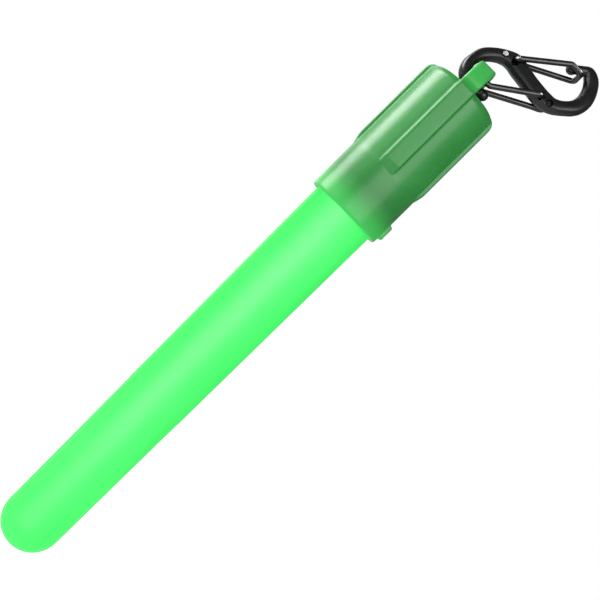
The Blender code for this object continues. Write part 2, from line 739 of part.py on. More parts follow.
def led_lamp():
    """A 5 mm lamp pointing down the tube, with its flange at the top."""
    tip = arc((0.0, LAMP_TIP + LAMP_RADIUS), LAMP_RADIUS, 0, -90, 6)
    profile = [
        (0.0, LAMP_BASE), (LAMP_RADIUS + 0.4 * MM, LAMP_BASE),
        (LAMP_RADIUS + 0.4 * MM, LAMP_BASE - 1.0 * MM), (LAMP_RADIUS, LAMP_BASE - 1.0 * MM),
    ]
    return turned("led_lamp", profile + tip, LAMP_CLEAR, module_foot, steps=24)


def led_leads():
    """Anode and cathode, from the lamp's base through the board."""
    for side, name in ((-1, "led_lead_anode"), (1, "led_lead_cathode")):
        bottom = LAMP_BASE + 0.2 * MM
        top = BOARD_TOP + 0.6 * MM
        block(name, (LEAD_WIDTH, LEAD_WIDTH, top - bottom), CONTACT_METAL, module_foot,
              (0.0, side * LEAD_SPACING / 2, (top + bottom) / 2))


def lamp_holder():
    """A ring that centres the lamp in the tube's neck."""
    top = NECK_TOP - 0.05 * MM
    return turned("lamp_holder", [
        (NECK_BORE - 0.25 * MM, top),
        (NECK_BORE - 0.25 * MM, top - 1.6 * MM),
        (3.6 * MM, top - 4.4 * MM),
        (LAMP_RADIUS + 0.25 * MM, top - 4.4 * MM),
        (LAMP_RADIUS + 0.25 * MM, LAMP_BASE - 1.3 * MM),
        (LAMP_RADIUS + 0.7 * MM, LAMP_BASE - 1.3 * MM),
        (LAMP_RADIUS + 0.7 * MM, top),
    ], CARRIER_WHITE, module_foot, steps=32, closed=True)


def board_parts():
    """The two small parts, the middle contact and the rim contact on the board."""
    rest = BOARD_TOP + PART_LIFT
    block("driver_chip", CHIP_SIZE, CHIP_BLACK, module_foot,
          (PART_OFFSET, 0.0, rest + CHIP_SIZE[2] / 2), edge=0.1 * MM)
    block("chip_resistor", RESISTOR_SIZE, CHIP_BLACK, module_foot,
          (-PART_OFFSET, 0.0, rest + RESISTOR_SIZE[2] / 2), edge=0.05 * MM)
    coil = helix(MIDDLE_COIL_RADIUS, 0.0, 1.5, 12, pitch=0.9 * MM)
    tapered = [(x * (1.0 - 0.25 * z / MM), y * (1.0 - 0.25 * z / MM), z) for x, y, z in coil]
    wire("centre_contact", tapered, MIDDLE_COIL_WIRE, CONTACT_METAL, module_foot,
         (0.0, 0.0, rest + MIDDLE_COIL_WIRE))
    turned("rim_contact", [
        (BOARD_RADIUS - 0.2 * MM, rest + 0.3 * MM), (BOARD_RADIUS - 0.2 * MM, rest),
        (BOARD_RADIUS - 1.2 * MM, rest), (BOARD_RADIUS - 1.2 * MM, rest + 0.3 * MM),
    ], CONTACT_METAL, module_foot, closed=True)


def build():
    clip_body()
    gate_wire("clip_gate_eye", EYE_GATE)
    gate_wire("clip_gate_hook", HOOK_GATE)
    cap_shell()
    light_tube()
    seal_ring()
    battery_carrier()
    for number in range(1, CELL_COUNT + 1):
        button_cell(number)
    contact_spring()
    end_contact()
    side_strip()
    led_board()
    led_lamp()
    led_leads()
    lamp_holder()
    board_parts()


build()
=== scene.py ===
"""Looks for the LED light stick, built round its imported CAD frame.

Lengths are in metres in the part's frame: +Z up, with the stick hanging under
the clip and the clip's free eye at the origin.  Heights on the stick count from
the tip of its dome.  On the clip a, b and w are its own right, up and front.
"""

import json
import math

import bmesh
import bpy
from mathutils import Matrix, Quaternion, Vector

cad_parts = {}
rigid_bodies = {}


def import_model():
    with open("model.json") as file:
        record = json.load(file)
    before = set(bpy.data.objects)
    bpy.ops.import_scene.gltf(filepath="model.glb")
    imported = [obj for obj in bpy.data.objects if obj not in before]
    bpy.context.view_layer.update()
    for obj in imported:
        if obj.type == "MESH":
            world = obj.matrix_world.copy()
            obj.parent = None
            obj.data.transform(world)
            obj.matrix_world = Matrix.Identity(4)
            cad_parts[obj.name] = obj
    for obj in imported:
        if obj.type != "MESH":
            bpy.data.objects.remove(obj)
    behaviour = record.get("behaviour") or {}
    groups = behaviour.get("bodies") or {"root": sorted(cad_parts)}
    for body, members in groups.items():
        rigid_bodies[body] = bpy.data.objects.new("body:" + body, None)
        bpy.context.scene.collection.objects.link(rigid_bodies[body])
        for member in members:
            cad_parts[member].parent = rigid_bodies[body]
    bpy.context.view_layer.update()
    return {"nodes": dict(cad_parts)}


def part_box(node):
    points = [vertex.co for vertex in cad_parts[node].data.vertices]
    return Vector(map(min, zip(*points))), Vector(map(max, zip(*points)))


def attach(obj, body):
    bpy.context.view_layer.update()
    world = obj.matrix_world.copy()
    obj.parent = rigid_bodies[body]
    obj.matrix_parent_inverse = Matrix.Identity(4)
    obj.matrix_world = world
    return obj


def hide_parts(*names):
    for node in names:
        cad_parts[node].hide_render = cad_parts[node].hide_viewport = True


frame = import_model()

MM = 0.001
WELD = 0.0000005           # vertices nearer than this are one

# ------------------------------------------------------------ where things are

TUBE_LOW, TUBE_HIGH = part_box("light_tube")
STICK_FOOT = Vector((
    (TUBE_LOW[0] + TUBE_HIGH[0]) / 2,
    (TUBE_LOW[1] + TUBE_HIGH[1]) / 2,
    TUBE_LOW[2],
))
STICK = Matrix.Translation(STICK_FOOT)

CLIP_LEAN = math.radians(23)
EYE_CENTRE = Vector((7.0 * MM, 5.6 * MM, 0.0))
# Columns: the clip's a, b and w directions.
CLIP_TURN = Matrix((
    (1.0, 0.0, 0.0),
    (0.0, math.sin(CLIP_LEAN), -math.cos(CLIP_LEAN)),
    (0.0, math.cos(CLIP_LEAN), math.sin(CLIP_LEAN)),
))
CLIP = Matrix.Translation(-(CLIP_TURN @ EYE_CENTRE)) @ CLIP_TURN.to_4x4()

# ----------------------------------------------------------------- dimensions

TUBE_TIP_RADIUS = 6.5 * MM
TUBE_RIM_RADIUS = 7.25 * MM
TUBE_WALL = 1.1 * MM
RIM_HEIGHT = 93.75 * MM
NECK_TOP = 100.0 * MM
NECK_RADIUS = 6.65 * MM
NECK_BORE = 5.5 * MM
NECK_EDGE = 0.25 * MM
BORE_EDGE = 0.15 * MM
SHOULDER_DROP = 0.5 * MM   # from the cap's rim down to where the tube's taper starts
GROOVE_RADIUS = 6.2 * MM
GROOVE_HALF_HEIGHT = 0.7 * MM
GROOVE_LIP = 0.2 * MM
SEAL_HEIGHT = 95.4 * MM
THREAD_PITCH = 2.0 * MM
THREAD_START = 97.0 * MM
THREAD_TURNS = 1.25
THREAD_RADIUS = 0.5 * MM   # of the round ridge itself
TAPER_ROWS = 24
TUBE_SIDES = 128
TUBE_SHARP = 40            # degrees from which an edge of the tube is shaded sharp

COLLAR_RADIUS = 8.5 * MM
COLLAR_TOP = 105.0 * MM
CAP_RADIUS = 8.4 * MM
CAP_TOP = 128.1 * MM
SHOULDER_RADIUS = 1.9 * MM
CAP_MOUTH = 7.45 * MM
CAVITY_RADIUS = 7.2 * MM
CAVITY_FLOOR = 100.7 * MM
CAVITY_CEILING = 126.0 * MM
CEILING_EDGE = 0.6 * MM
CROWN_RISE = 0.1 * MM
COLLAR_STEP = 1.2 * MM
RIM_EDGE = 0.4 * MM
RIDGE_REACH = 9.0 * MM
RIDGE_HALF_WIDTH = 2.1 * MM
RIDGE_HEAD = 2.2 * MM      # radius of the ridge's rounded head
RIDGE_EDGE = 0.35 * MM
STRAP_ROOT = 7.8 * MM      # the front and back ridges start inside the cap's wall
STRAP_REACH = 9.05 * MM
STRAP_RISE = 2.0 * MM
STRAP_SHOULDER = 127.4 * MM
STRAP_HALF_WIDTH = 2.0 * MM
LOOP_TOP = 135.05 * MM
LOOP_THICKNESS = 1.4 * MM
LOOP_HALF_SPAN = 8.2 * MM
LOOP_SPRING = 127.9 * MM   # height at which the loop's arch starts
LOOP_FULLNESS = 0.3 * MM   # how far the arch's sides stand out from an ellipse
LOOP_EDGE = 0.5 * MM
LOOP_ANGLES = (-8, 188, 56)   # first and last angle of the arch, and its steps
TAB_REACH = (7.85 * MM, 9.25 * MM)
TAB_HEIGHT = (95.2 * MM, 98.6 * MM)
TAB_HALF_WIDTH = 1.5 * MM
CAP_SIDES = 144
CAP_VOXEL = 0.17 * MM
CAP_KEPT = 0.45            # share of the fused cap's faces that its smooth walls need
EDGE_SEGMENTS = 3
ROUNDED_FROM = 40          # degrees from which an edge of a prism is rounded

# The clip, in mm in its own plane.
BALL_RADIUS = 1.2
BALL_STEPS = 14
BALL_TIP = 0.12            # the angle, in radians, left open at the ball's tip
STATION_STEPS = 8
CLIP_SHARP = 24            # degrees from which an edge of the clip is shaded sharp
WIRE_RADIUS = 0.62
WIRE_SIDES = 24
WIRE_SHARP = 35            # degrees
WIRE_CHAMFER = 0.08
WIRE_OFFSET = 2.22
WIRE_BEND = 0.8
SECOND_END = -1.2          # how far the gate's second end goes into the clip
SLOT_GAP = 0.2             # between a wire and its slot
SLOT_REACH = 3.0           # half the depth of a cutter, well past the clip's faces
GATE_SWING = 15            # degrees

# The gates and the S are as the CAD part has them to within 0.4 mm: the looks follow
# the real outline, and the CAD keeps its clearances.
EYE_GATE = {
    "pivot_end": 1.75, "pivot": (-7.2, 0.1), "second": (-4.8, 0.9), "bend": (3.75, 9.2),
    "front_corner": (6.5, 9.2), "rear_corner": (6.5, 9.7), "rear_bend": (-4.8, 2.7),
}
HOOK_GATE = {
    "pivot_end": 1.2, "pivot": (6.1, -0.8), "second": (3.95, -1.15), "bend": (-4.65, -8.45),
    "front_corner": (-6.4, -8.8), "rear_corner": (-6.5, -8.6), "rear_bend": (3.8, -2.1),
}
# a, b, half width, half depth, and how square the section is (0 round, 1 moulded)
CLIP_STATIONS = [
    (-4.45, -9.8, 0.9, 0.9, 0.0),
    (-5.9, -10.2, 0.85, 0.85, 0.0),
    (-7.2, -10.35, 1.0, 1.1, 0.1),
    (-8.8, -10.05, 1.2, 1.3, 0.2),
    (-10.3, -8.9, 1.25, 1.45, 0.25),
    (-11.05, -7.0, 1.25, 1.55, 0.3),
    (-11.0, -5.0, 1.2, 1.55, 0.3),
    (-10.35, -3.0, 1.4, 1.55, 0.35),
    (-8.8, -1.1, 1.4, 1.55, 0.5),
    (-6.9, 0.3, 1.5, 1.55, 0.8),
    (-4.8, 0.95, 1.95, 1.55, 1.0),
    (-2.8, 0.6, 2.0, 1.55, 1.0),
    (0.0, 0.05, 1.85, 1.55, 1.0),
    (3.0, -0.4, 1.9, 1.55, 1.0),
    (5.0, -0.45, 1.85, 1.55, 1.0),
    (6.9, 0.05, 1.6, 1.55, 0.7),
    (8.75, 1.5, 1.5, 1.55, 0.4),
    (10.35, 3.6, 1.65, 1.55, 0.3),
    (10.85, 6.25, 1.7, 1.55, 0.3),
    (10.25, 8.9, 1.65, 1.5, 0.25),
    (9.0, 11.05, 1.6, 1.45, 0.2),
    (7.5, 12.05, 1.4, 1.3, 0.1),
    (6.2, 11.5, 1.05, 1.05, 0.0),
    (4.35, 9.85, 0.95, 0.95, 0.0),
]
# A quarter of the moulded section: across and through, from the flat front face
# over a chamfer to the side face and the parting ridge in its middle.
MOULDED_QUARTER = [
    (0.0, 1.0), (0.3, 1.0), (0.56, 0.995), (0.66, 0.97), (0.82, 0.80), (0.875, 0.70),
    (0.915, 0.50), (0.925, 0.30), (0.94, 0.24), (0.985, 0.18), (1.0, 0.10), (1.0, 0.0),
]


# ------------------------------------------------------------------- materials

class Look:
    """A Principled material with procedural detail, in the piece's own space."""

    def __init__(self, name, **values):
        self.material = bpy.data.materials.new(name)
        self.material.use_nodes = True
        self.tree = self.material.node_tree
        self.shader = self.tree.nodes["Principled BSDF"]
        for socket, value in values.items():
            self.shader.inputs[socket.replace("_", " ")].default_value = value
        self.place = self.add("ShaderNodeTexCoord").outputs["Object"]

    def add(self, kind, **settings):
        made = self.tree.nodes.new(kind)
        for key, value in settings.items():
            setattr(made, key, value)
        return made

    def link(self, source, target):
        self.tree.links.new(source, target)

    def stretched(self, scale):
        mapping = self.add("ShaderNodeMapping")
        mapping.inputs["Scale"].default_value = scale
        self.link(self.place, mapping.inputs["Vector"])
        return mapping.outputs["Vector"]

    def noise(self, scale, detail=3.0, roughness=0.55, stretch=(1.0, 1.0, 1.0)):
        made = self.add("ShaderNodeTexNoise")
        made.inputs["Scale"].default_value = scale
        made.inputs["Detail"].default_value = detail
        made.inputs["Roughness"].default_value = roughness
        self.link(self.stretched(stretch), made.inputs["Vector"])
        return made.outputs["Fac"]

    def ramp(self, value, stops):
        """stops: (position, colour or grey) pairs."""
        made = self.add("ShaderNodeValToRGB")
        elements = made.color_ramp.elements
        while len(elements) < len(stops):
            elements.new(0.5)
        for element, (position, colour) in zip(elements, stops):
            element.position = position
            grey = isinstance(colour, (int, float))
            element.color = (colour, colour, colour, 1.0) if grey else (*colour, 1.0)
        self.link(value, made.inputs["Fac"])
        return made.outputs["Color"]

    def height_ramp(self, low, high, stops):
        """A ramp over the heights on the stick from low to high."""
        split = self.add("ShaderNodeSeparateXYZ")
        self.link(self.place, split.inputs["Vector"])
        span = self.add("ShaderNodeMapRange")
        span.inputs["From Min"].default_value = STICK_FOOT.z + low
        span.inputs["From Max"].default_value = STICK_FOOT.z + high
        self.link(split.outputs["Z"], span.inputs["Value"])
        return self.ramp(span.outputs["Result"], stops)

    def blend(self, mode, first, second):
        made = self.add("ShaderNodeMix", data_type="RGBA", blend_type=mode)
        made.inputs["Factor"].default_value = 1.0
        self.link(first, made.inputs["A"])
        self.link(second, made.inputs["B"])
        return made.outputs["Result"]

    def edges(self, low, high):
        """0 on flats and 1 on convex edges, from the surface's curvature."""
        geometry = self.add("ShaderNodeNewGeometry")
        return self.ramp(geometry.outputs["Pointiness"], [(low, 0.0), (high, 1.0)])

    def bump(self, heights):
        """Bump from (height socket, strength, distance) rows, one over another."""
        normal = None
        for height, strength, distance in heights:
            made = self.add("ShaderNodeBump")
            made.inputs["Strength"].default_value = strength
            made.inputs["Distance"].default_value = distance
            self.link(height, made.inputs["Height"])
            if normal:
                self.link(normal, made.inputs["Normal"])
            normal = made.outputs["Normal"]
        self.link(normal, self.shader.inputs["Normal"])

    def feed(self, socket, source):
        self.link(source, self.shader.inputs[socket])


def diffuser_look():
    """Frosted green plastic, lit from inside."""
    look = Look("frosted_green_lit", Emission_Strength=1.0, Specular_IOR_Level=0.35)
    cloud = look.noise(160.0, 4.0, stretch=(1.0, 1.0, 0.25))
    grain = look.noise(5200.0, 2.0)
    body = look.ramp(cloud, [(0.3, (0.020, 0.13, 0.034)), (0.7, (0.026, 0.16, 0.042))])
    look.feed("Base Color", body)
    warm = look.ramp(cloud, [(0.3, (0.024, 0.72, 0.086)), (0.7, (0.030, 0.78, 0.098))])
    along = look.height_ramp(0.0, 96 * MM, [
        (0.0, 0.98), (0.08, 1.0), (0.9, 1.0), (0.965, 0.93), (1.0, 0.8),
    ])
    look.feed("Emission Color", look.blend("MULTIPLY", warm, along))
    look.feed("Roughness", look.ramp(grain, [(0.35, 0.44), (0.65, 0.54)]))
    look.bump([(cloud, 0.15, 0.2 * MM), (grain, 0.10, 0.03 * MM)])
    return look.material


def cap_look():
    """Satin green plastic, which glows where the lit neck stands behind it, with painted shade and
    light by height.
    """
    look = Look("satin_green_cap", Emission_Strength=1.0, Specular_IOR_Level=0.55)
    cloud = look.noise(190.0, 4.0)
    grain = look.noise(4200.0, 2.0)
    tint = look.ramp(cloud, [(0.3, (0.041, 0.420, 0.070)), (0.7, (0.051, 0.470, 0.084))])
    # painted shade and light by height: a darker band just above the neck, where the dark holder
    # inside shows through the wall, and lighter over the loop
    shade_by_height = look.height_ramp(94 * MM, 136 * MM, [
        (0.0, 0.54), (0.12, 0.52), (0.155, 0.44), (0.21, 0.48), (0.30, 0.53), (0.80, 0.54),
        (0.835, 0.90), (1.0, 1.0),
    ])
    look.feed("Base Color", look.blend("MULTIPLY", tint, shade_by_height))
    glow = look.height_ramp(93.5 * MM, 100.5 * MM, [
        (0.0, (0.020, 0.330, 0.055)), (0.2, (0.018, 0.270, 0.045)), (0.42, (0.014, 0.190, 0.030)),
        (0.62, (0.008, 0.080, 0.013)), (0.82, (0.002, 0.012, 0.003)), (1.0, (0.0, 0.0, 0.0)),
    ])
    patch = look.ramp(cloud, [(0.3, 0.92), (0.7, 1.0)])
    look.feed("Emission Color", look.blend("MULTIPLY", glow, patch))
    look.feed("Roughness", look.ramp(grain, [(0.3, 0.30), (0.7, 0.40)]))
    look.bump([(cloud, 0.10, 0.2 * MM), (grain, 0.12, 0.02 * MM)])
    return look.material


def black_look():
    """Black moulded nylon, fine-grained, with slightly lighter convex edges."""
    look = Look("black_nylon", Specular_IOR_Level=0.5)
    cloud = look.noise(260.0, 4.0)
    grain = look.noise(3800.0, 2.0)
    # convex edges made slightly lighter, from the surface's curvature
    convex_edge_mask = look.edges(0.54, 0.64)
    base = look.ramp(cloud, [(0.3, (0.0035, 0.0035, 0.004)), (0.7, (0.007, 0.007, 0.0078))])
    lighter_edge_tone = look.ramp(convex_edge_mask, [(0.0, (0.0, 0.0, 0.0)), (1.0, (0.008, 0.008, 0.009))])
    look.feed("Base Color", look.blend("ADD", base, lighter_edge_tone))
    look.feed("Roughness", look.ramp(cloud, [(0.3, 0.26), (0.7, 0.36)]))
    look.bump([(cloud, 0.08, 0.12 * MM), (grain, 0.06, 0.008 * MM)])
    return look.material


def metal_look(name, dark, light, smooth, rough, stretch=(1.0, 1.0, 1.0), scratch=0.15):
    """Drawn or stamped metal with fine lines and dull patches."""
    look = Look(name, Metallic=1.0)
    cloud = look.noise(420.0, 4.0)
    lines = look.noise(3600.0, 3.0, 0.7, stretch)
    look.feed("Base Color", look.ramp(cloud, [(0.3, dark), (0.7, light)]))
    look.feed("Roughness", look.ramp(lines, [(0.3, smooth), (0.7, rough)]))
    look.bump([(lines, scratch, 0.01 * MM)])
    return look.material


def moulded_look(name, dark, light, smooth, rough, scale=900.0, **values):
    """Plain moulded plastic, rubber, laminate or epoxy with a fine grain."""
    look = Look(name, **values)
    cloud = look.noise(scale, 4.0)
    grain = look.noise(4500.0, 2.0)
    look.feed("Base Color", look.ramp(cloud, [(0.3, dark), (0.7, light)]))
    look.feed("Roughness", look.ramp(grain, [(0.3, smooth), (0.7, rough)]))
    look.bump([(cloud, 0.08, 0.05 * MM), (grain, 0.12, 0.01 * MM)])
    return look.material


LOOKS = {
    "glow": diffuser_look(),
    "cap": cap_look(),
    "black": black_look(),
    "wire": metal_look("black_nickel_wire", (0.045, 0.045, 0.045), (0.065, 0.065, 0.066),
                       0.13, 0.18, scratch=0.015),
    "cut_end": metal_look("bare_cut_steel", (0.24, 0.24, 0.24), (0.34, 0.34, 0.34),
                          0.28, 0.38, scratch=0.02),
    "cell": metal_look("cell_can", (0.60, 0.60, 0.58), (0.74, 0.73, 0.71),
                       0.18, 0.32, (1.0, 1.0, 0.1)),
    "contact": metal_look("plated_contact", (0.66, 0.55, 0.30), (0.80, 0.70, 0.44), 0.22, 0.38),
    "carrier": moulded_look("natural_carrier", (0.50, 0.51, 0.50), (0.60, 0.61, 0.59), 0.42, 0.56),
    "board": moulded_look("board_mask", (0.012, 0.10, 0.04), (0.02, 0.15, 0.06),
                          0.28, 0.42, 1500.0),
    "chip": moulded_look("chip_body", (0.014, 0.014, 0.015), (0.03, 0.03, 0.031),
                         0.45, 0.6, 2500.0),
    "epoxy": moulded_look("lamp_epoxy", (0.30, 0.85, 0.40), (0.40, 0.95, 0.50), 0.08, 0.16,
                          Transmission_Weight=0.7, IOR=1.52, Emission_Strength=0.8,
                          Emission_Color=(0.3, 1.0, 0.45, 1.0)),
    "rubber": moulded_look("seal_rubber", (0.014, 0.014, 0.014), (0.028, 0.027, 0.027),
                           0.55, 0.75),
}


# -------------------------------------------------------------- mesh building

def new_piece(name, mesh, look=None, sharp=None):
    """Add a mesh as a shown piece, smooth except at edges over the sharp angle.

    Without a look the mesh has its materials already.
    """
    obj = bpy.data.objects.new(name, mesh)
    bpy.context.scene.collection.objects.link(obj)
    if look:
        mesh.materials.append(LOOKS[look])
    mesh.shade_smooth()
    if sharp:
        mesh.set_sharp_from_angle(angle=math.radians(sharp))
    return obj


def finish_mesh(name, shape):
    bmesh.ops.remove_doubles(shape, verts=shape.verts, dist=WELD)
    bmesh.ops.recalc_face_normals(shape, faces=shape.faces)
    mesh = bpy.data.meshes.new(name)
    shape.to_mesh(mesh)
    shape.free()
    return mesh


def ellipse(centre, half_width, half_height, start, end, steps):
    """Points on an ellipse, with the angles in degrees and both ends included."""
    points = []
    for step in range(steps + 1):
        angle = math.radians(start + (end - start) * step / steps)
        across = centre[0] + half_width * math.cos(angle)
        points.append((across, centre[1] + half_height * math.sin(angle)))
    return points


def arc(centre, radius, start, end, steps):
    return ellipse(centre, radius, radius, start, end, steps)


def lathe(shape, profile, steps, matrix):
    """Turn (radius, height) points about the Z axis of matrix, into shape."""
    rings = []
    for radius, height in profile:
        if radius < WELD:
            rings.append([shape.verts.new(matrix @ Vector((0.0, 0.0, height)))])
            continue
        ring = []
        for step in range(steps):
            angle = math.tau * step / steps
            point = Vector((radius * math.cos(angle), radius * math.sin(angle), height))
            ring.append(shape.verts.new(matrix @ point))
        rings.append(ring)
    for lower, upper in zip(rings, rings[1:]):
        for k in range(steps):
            ahead = (k + 1) % steps
            corners = [
                lower[k % len(lower)], lower[ahead % len(lower)],
                upper[ahead % len(upper)], upper[k % len(upper)],
            ]
            face = list(dict.fromkeys(corners))
            if len(face) > 2:
                shape.faces.new(face)


def skin(shape, rings):
    """Close a row of equal rings into a solid. Returns its two end faces."""
    for lower, upper in zip(rings, rings[1:]):
        for k in range(len(lower)):
            ahead = (k + 1) % len(lower)
            shape.faces.new((lower[k], lower[ahead], upper[ahead], upper[k]))
    return [shape.faces.new(rings[0]), shape.faces.new(rings[-1])]


def prism(shape, outline, half_depth, matrix, edge=0.0):
    """Extrude a closed (x, y) outline both ways along z, and round its edges.

    A hollow outline, such as an arch, isn't filled in safely: loop_arch is for those.
    """
    piece = bmesh.new()
    rings = []
    for depth in (-half_depth, half_depth):
        rings.append([piece.verts.new((x, y, depth)) for x, y in outline])
    skin(piece, rings)
    bmesh.ops.recalc_face_normals(piece, faces=piece.faces)
    if edge:
        limit = math.radians(ROUNDED_FROM)
        sharp = [side for side in piece.edges if side.calc_face_angle(0.0) > limit]
        bmesh.ops.bevel(
            piece, geom=sharp, offset=edge, segments=EDGE_SEGMENTS, affect="EDGES", profile=0.5
        )
    bmesh.ops.transform(piece, matrix=matrix, verts=piece.verts)
    pour(piece, shape)


def pour(piece, shape):
    """Move everything in one bmesh into another."""
    mesh = bpy.data.meshes.new("pour")
    piece.to_mesh(mesh)
    piece.free()
    shape.from_mesh(mesh)
    bpy.data.meshes.remove(mesh)


def sweep(shape, points, radius, sides, matrix, chamfer=0.0):
    """A round wire along a poly-line, with flat chamfered ends. Returns its end faces."""
    points = [Vector(point) for point in points]
    first = (points[1] - points[0]).normalized()
    last = (points[-1] - points[-2]).normalized()
    full = points[1:-1]
    if chamfer:
        full = [points[0] + first * chamfer, *full, points[-1] - last * chamfer]
    spine = [(points[0], radius - chamfer)]
    spine += [(point, radius) for point in full]
    spine.append((points[-1], radius - chamfer))
    side = first.orthogonal().normalized()
    rings = []
    for i, (point, reach) in enumerate(spine):
        before = spine[max(i - 1, 0)][0]
        after = spine[min(i + 1, len(spine) - 1)][0]
        along = (after - before).normalized()
        side = (side - along * side.dot(along)).normalized()
        up = along.cross(side)
        ring = []
        for step in range(sides):
            angle = math.tau * step / sides
            arm = (side * math.cos(angle) + up * math.sin(angle)) * reach
            ring.append(shape.verts.new(matrix @ (point + arm)))
        rings.append(ring)
    return skin(shape, rings)


def thread_path(radius, steps_per_turn, phase=0.0):
    """The centre line of the thread's ridge."""
    points = []
    for step in range(int(THREAD_TURNS * steps_per_turn) + 1):
        angle = math.tau * step / steps_per_turn
        height = THREAD_START + THREAD_PITCH * angle / math.tau
        turned = angle + phase
        points.append(Vector((radius * math.cos(turned), radius * math.sin(turned), height)))
    return points


def rounded_path(corners, radius, steps=10):
    """A poly-line through the corners, with each inner corner turned on an arc."""
    points = [Vector(corners[0])]
    for before, corner, after in zip(corners, corners[1:], corners[2:]):
        corner = Vector(corner)
        back = (Vector(before) - corner).normalized()
        ahead = (Vector(after) - corner).normalized()
        half = back.angle(ahead) / 2
        reach = radius / math.tan(half)
        middle = corner + (back + ahead).normalized() * radius / math.sin(half)
        first = corner + back * reach - middle
        last = corner + ahead * reach - middle
        for step in range(steps + 1):
            spin = Quaternion(first.cross(last), first.angle(last) * step / steps)
            points.append(middle + spin @ first)
    points.append(Vector(corners[-1]))
    return points


def modified(obj, kind, **settings):
    """Apply one modifier and keep its result as the object's mesh."""
    modifier = obj.modifiers.new(kind.lower(), kind)
    for key, value in settings.items():
        setattr(modifier, key, value)
    bpy.context.view_layer.update()
    graph = bpy.context.evaluated_depsgraph_get()
    made = bpy.data.meshes.new_from_object(obj.evaluated_get(graph), depsgraph=graph)
    obj.modifiers.clear()
    obj.data = made


# ----------------------------------------------------------------- the diffuser

def tube_profile():
    """Up the bore from the dome's inside, over the neck, and down to the tip."""
    inside = arc((0.0, TUBE_TIP_RADIUS), TUBE_TIP_RADIUS - TUBE_WALL, -90, 0, 20)
    inside[0] = (0.0, TUBE_WALL)
    inside += [
        (TUBE_RIM_RADIUS - TUBE_WALL, RIM_HEIGHT - 2.0 * MM),
        (NECK_BORE, RIM_HEIGHT - 0.6 * MM),
        (NECK_BORE, NECK_TOP - BORE_EDGE),
        (NECK_BORE + BORE_EDGE, NECK_TOP),
    ]
    outside = arc((NECK_RADIUS - NECK_EDGE, NECK_TOP - NECK_EDGE), NECK_EDGE, 90, 0, 4)
    groove_foot = SEAL_HEIGHT - GROOVE_HALF_HEIGHT
    taper_top = RIM_HEIGHT - SHOULDER_DROP
    outside += [
        (NECK_RADIUS, SEAL_HEIGHT + GROOVE_HALF_HEIGHT),
        (GROOVE_RADIUS, SEAL_HEIGHT + GROOVE_HALF_HEIGHT),
        (GROOVE_RADIUS, groove_foot),
        (TUBE_RIM_RADIUS - GROOVE_LIP, groove_foot),
        (TUBE_RIM_RADIUS, groove_foot - GROOVE_LIP),
        (TUBE_RIM_RADIUS, taper_top),
    ]
    for row in range(1, TAPER_ROWS):
        share = row / TAPER_ROWS
        radius = TUBE_RIM_RADIUS + (TUBE_TIP_RADIUS - TUBE_RIM_RADIUS) * share
        outside.append((radius, taper_top + (TUBE_TIP_RADIUS - taper_top) * share))
    dome = arc((0.0, TUBE_TIP_RADIUS), TUBE_TIP_RADIUS, 0, -90, 24)
    dome[-1] = (0.0, 0.0)
    return inside + outside + dome


def diffuser():
    shape = bmesh.new()
    lathe(shape, tube_profile(), TUBE_SIDES, STICK)
    sweep(shape, thread_path(NECK_RADIUS + 0.05 * MM, 64), THREAD_RADIUS, 14, STICK)
    tube = new_piece("diffuser_tube", finish_mesh("diffuser_tube", shape), "glow", TUBE_SHARP)
    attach(tube, "tube")
    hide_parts("light_tube")


# ---------------------------------------------------------------------- the cap

def cap_profile():
    """Outer side down from the crown, round the rim, then up the bore."""
    corner = (CAP_RADIUS - SHOULDER_RADIUS, CAP_TOP - SHOULDER_RADIUS)
    outer = [(0.0, CAP_TOP + CROWN_RISE)] + arc(corner, SHOULDER_RADIUS, 90, 0, 16)
    outer += [(CAP_RADIUS, COLLAR_TOP + COLLAR_STEP), (COLLAR_RADIUS, COLLAR_TOP)]
    rim = arc((COLLAR_RADIUS - RIM_EDGE, RIM_HEIGHT + RIM_EDGE), RIM_EDGE, 0, -90, 5)
    inner = [
        (CAP_MOUTH + 0.2 * MM, RIM_HEIGHT),
        (CAP_MOUTH, RIM_HEIGHT + 0.3 * MM),
        (CAP_MOUTH, CAVITY_FLOOR - 0.2 * MM),
        (CAVITY_RADIUS, CAVITY_FLOOR),
        (CAVITY_RADIUS, CAVITY_CEILING - CEILING_EDGE),
        (CAVITY_RADIUS - CEILING_EDGE, CAVITY_CEILING),
        (0.0, CAVITY_CEILING),
    ]
    return outer + rim + inner


def strap_outline():
    """The side view of a front or back ridge, up to where the loop's arch takes over."""
    return [
        (STRAP_ROOT, COLLAR_TOP),
        (COLLAR_RADIUS - 0.15 * MM, COLLAR_TOP),
        (STRAP_REACH, COLLAR_TOP + STRAP_RISE),
        (STRAP_REACH, STRAP_SHOULDER),
        (LOOP_HALF_SPAN - 0.1 * MM, LOOP_SPRING + 1.3 * MM),
        (LOOP_HALF_SPAN - 0.9 * MM, LOOP_SPRING + 0.7 * MM),
    ]


def rounded_section(half_depth, half_width, corner):
    """A rectangle with round corners, about its middle."""
    points = []
    for depth, width, start in ((1, 1, 0), (-1, 1, 90), (-1, -1, 180), (1, -1, 270)):
        middle = (depth * (half_depth - corner), width * (half_width - corner))
        points += arc(middle, corner, start, start + 90, 5)
    return points


